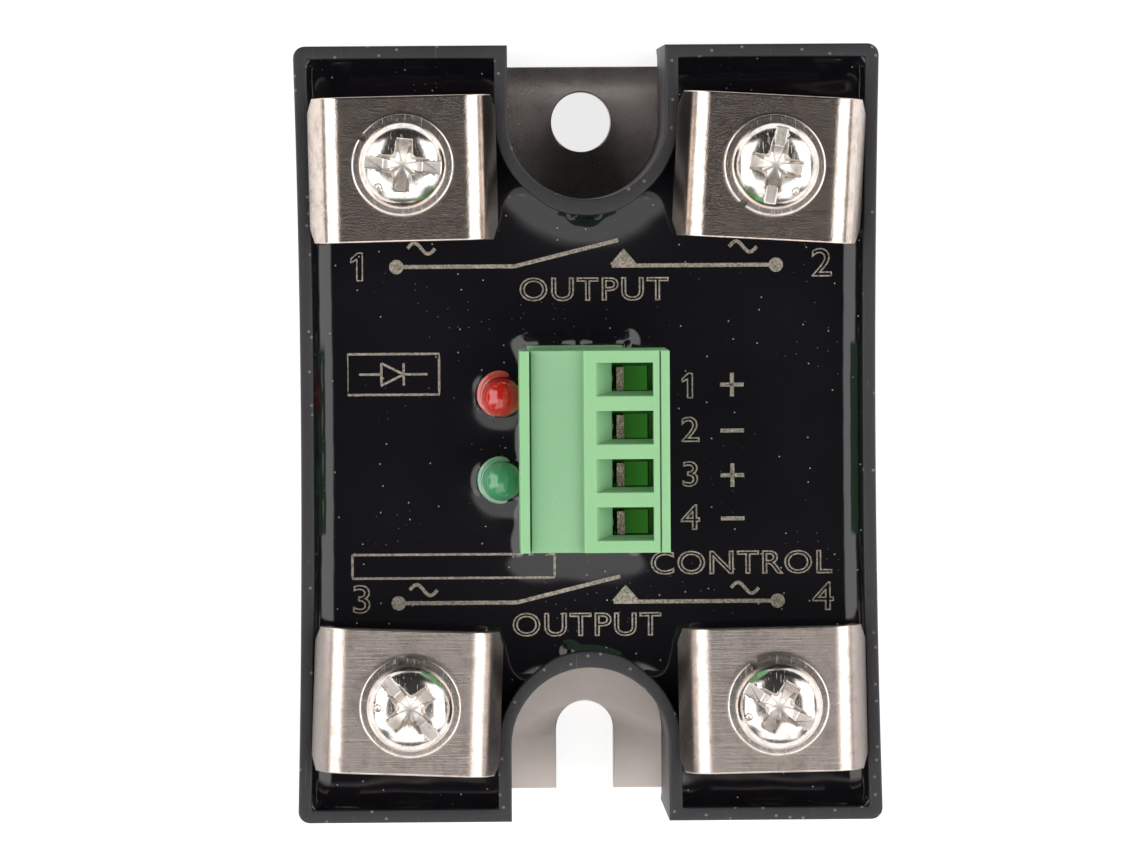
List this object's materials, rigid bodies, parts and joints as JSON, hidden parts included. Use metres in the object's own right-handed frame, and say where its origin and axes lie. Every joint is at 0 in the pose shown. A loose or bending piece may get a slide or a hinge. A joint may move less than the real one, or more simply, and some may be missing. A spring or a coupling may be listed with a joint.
{
  "type": "solid state relay",
  "caption": "Panel-mount solid state relay: potted plastic housing on an aluminium base plate, screw terminals with wire clamps, indicator lamps and a pluggable input connector.",
  "frame": {"origin": "on the underside of the base plate, below the middle of the housing", "axes": "+Z away from the panel, +Y towards the end with the round mounting hole, X across the width"},
  "size_m": [0.0446, 0.059, 0.033],
  "materials": {
    "housing_plastic": "moulded, fine grain, slightly worn",
    "epoxy": "cast, glossy, with a meniscus at every wall",
    "base_aluminium": "satin, fine pits",
    "plated_steel": "zinc plated, brushed",
    "screw_steel": "nickel plated, smooth",
    "connector_green": "moulded, satin",
    "tinned_brass": "tin plated",
    "red_lens": "tinted diffused resin",
    "green_lens": "tinted diffused resin",
    "circuit_board": "solder mask over glass fibre",
    "device_black": "moulded",
    "capacitor_case": "moulded",
    "resistor_coat": "lacquered",
    "insulating_pad": "soft, matt",
    "soft_gel": "clear soft silicone gel"
  },
  "bodies": {
    "relay": {"base_plate": "base_aluminium", "housing": "housing_plastic", "potting_gel": "soft_gel", "pcb": "circuit_board", "potting_cap": "epoxy", "led_red": "red_lens", "led_green": "green_lens", "header_body": "connector_green", "insulator_pad_1": "insulating_pad", "triac_1": "device_black", "optocoupler_1": "device_black", "snubber_capacitor_1": "capacitor_case", "snubber_resistor_1": "resistor_coat", "input_resistor_1": "resistor_coat", "transistor_1": "device_black", "insulator_pad_2": "insulating_pad", "triac_2": "device_black", "optocoupler_2": "device_black", "snubber_capacitor_2": "capacitor_case", "snubber_resistor_2": "resistor_coat", "input_resistor_2": "resistor_coat", "transistor_2": "device_black", "terminal_lug_1": "plated_steel", "header_pin_1": "tinned_brass", "terminal_lug_2": "plated_steel", "header_pin_2": "tinned_brass", "terminal_lug_3": "plated_steel", "header_pin_3": "tinned_brass", "terminal_lug_4": "plated_steel", "header_pin_4": "tinned_brass"},
    "plug": {"plug_body": "connector_green", "plug_contact_1": "tinned_brass", "plug_contact_2": "tinned_brass", "plug_contact_3": "tinned_brass", "plug_contact_4": "tinned_brass"},
    "clamp_1": {"clamp_plate_1": "plated_steel", "lock_washer_1": "screw_steel"},
    "screw_1": {"terminal_screw_1": "screw_steel"},
    "clamp_2": {"clamp_plate_2": "plated_steel", "lock_washer_2": "screw_steel"},
    "screw_2": {"terminal_screw_2": "screw_steel"},
    "clamp_3": {"clamp_plate_3": "plated_steel", "lock_washer_3": "screw_steel"},
    "screw_3": {"terminal_screw_3": "screw_steel"},
    "clamp_4": {"clamp_plate_4": "plated_steel", "lock_washer_4": "screw_steel"},
    "screw_4": {"terminal_screw_4": "screw_steel"},
    "plug_screw_1": {"plug_screw_1": "screw_steel"},
    "plug_cage_1": {"plug_cage_1": "plated_steel"},
    "plug_screw_2": {"plug_screw_2": "screw_steel"},
    "plug_cage_2": {"plug_cage_2": "plated_steel"},
    "plug_screw_3": {"plug_screw_3": "screw_steel"},
    "plug_cage_3": {"plug_cage_3": "plated_steel"},
    "plug_screw_4": {"plug_screw_4": "screw_steel"},
    "plug_cage_4": {"plug_cage_4": "plated_steel"}
  },
  "joints": [
    {"name": "plug_lift", "type": "slide", "parent": "relay", "child": "plug", "axis": [0, 0, 1], "range_m": [0, 0.012]},
    {"name": "clamp_rise_1", "type": "slide", "parent": "relay", "child": "clamp_1", "axis": [0, 0, 1], "range_m": [0, 0.0035]},
    {"name": "screw_turn_1", "type": "hinge", "parent": "clamp_1", "child": "screw_1", "pos_m": [-0.01398, 0.02045, 0.0275], "axis": [0, 0, 1], "range_deg": [0, 1810]},
    {"name": "clamp_rise_2", "type": "slide", "parent": "relay", "child": "clamp_2", "axis": [0, 0, 1], "range_m": [0, 0.0035]},
    {"name": "screw_turn_2", "type": "hinge", "parent": "clamp_2", "child": "screw_2", "pos_m": [0.01406, 0.02026, 0.0275], "axis": [0, 0, 1], "range_deg": [0, 1810]},
    {"name": "clamp_rise_3", "type": "slide", "parent": "relay", "child": "clamp_3", "axis": [0, 0, 1], "range_m": [0, 0.0035]},
    {"name": "screw_turn_3", "type": "hinge", "parent": "clamp_3", "child": "screw_3", "pos_m": [-0.01368, -0.02042, 0.0275], "axis": [0, 0, 1], "range_deg": [0, 1810]},
    {"name": "clamp_rise_4", "type": "slide", "parent": "relay", "child": "clamp_4", "axis": [0, 0, 1], "range_m": [0, 0.0035]},
    {"name": "screw_turn_4", "type": "hinge", "parent": "clamp_4", "child": "screw_4", "pos_m": [0.01412, -0.02044, 0.0275], "axis": [0, 0, 1], "range_deg": [0, 1810]},
    {"name": "plug_screw_turn_1", "type": "hinge", "parent": "plug", "child": "plug_screw_1", "pos_m": [-0.0046, 0.00435, 0.02825], "axis": [1, 0, 0], "range_deg": [0, 1685]},
    {"name": "cage_close_1", "type": "slide", "parent": "plug", "child": "plug_cage_1", "axis": [-1, 0, 0], "range_m": [0, 0.00185]},
    {"name": "plug_screw_turn_2", "type": "hinge", "parent": "plug", "child": "plug_screw_2", "pos_m": [-0.0046, 0.00075, 0.02825], "axis": [1, 0, 0], "range_deg": [0, 1685]},
    {"name": "cage_close_2", "type": "slide", "parent": "plug", "child": "plug_cage_2", "axis": [-1, 0, 0], "range_m": [0, 0.00185]},
    {"name": "plug_screw_turn_3", "type": "hinge", "parent": "plug", "child": "plug_screw_3", "pos_m": [-0.0046, -0.00285, 0.02825], "axis": [1, 0, 0], "range_deg": [0, 1685]},
    {"name": "cage_close_3", "type": "slide", "parent": "plug", "child": "plug_cage_3", "axis": [-1, 0, 0], "range_m": [0, 0.00185]},
    {"name": "plug_screw_turn_4", "type": "hinge", "parent": "plug", "child": "plug_screw_4", "pos_m": [-0.0046, -0.00645, 0.02825], "axis": [1, 0, 0], "range_deg": [0, 1685]},
    {"name": "cage_close_4", "type": "slide", "parent": "plug", "child": "plug_cage_4", "axis": [-1, 0, 0], "range_m": [0, 0.00185]}
  ],
  "couplings": [
    {"joint": "screw_turn_1", "follows": "clamp_rise_1", "rad_per_m": 8976},
    {"joint": "screw_turn_2", "follows": "clamp_rise_2", "rad_per_m": 8976},
    {"joint": "screw_turn_3", "follows": "clamp_rise_3", "rad_per_m": 8976},
    {"joint": "screw_turn_4", "follows": "clamp_rise_4", "rad_per_m": 8976},
    {"joint": "plug_screw_turn_1", "follows": "cage_close_1", "rad_per_m": 15708},
    {"joint": "plug_screw_turn_2", "follows": "cage_close_2", "rad_per_m": 15708},
    {"joint": "plug_screw_turn_3", "follows": "cage_close_3", "rad_per_m": 15708},
    {"joint": "plug_screw_turn_4", "follows": "cage_close_4", "rad_per_m": 15708}
  ]
}
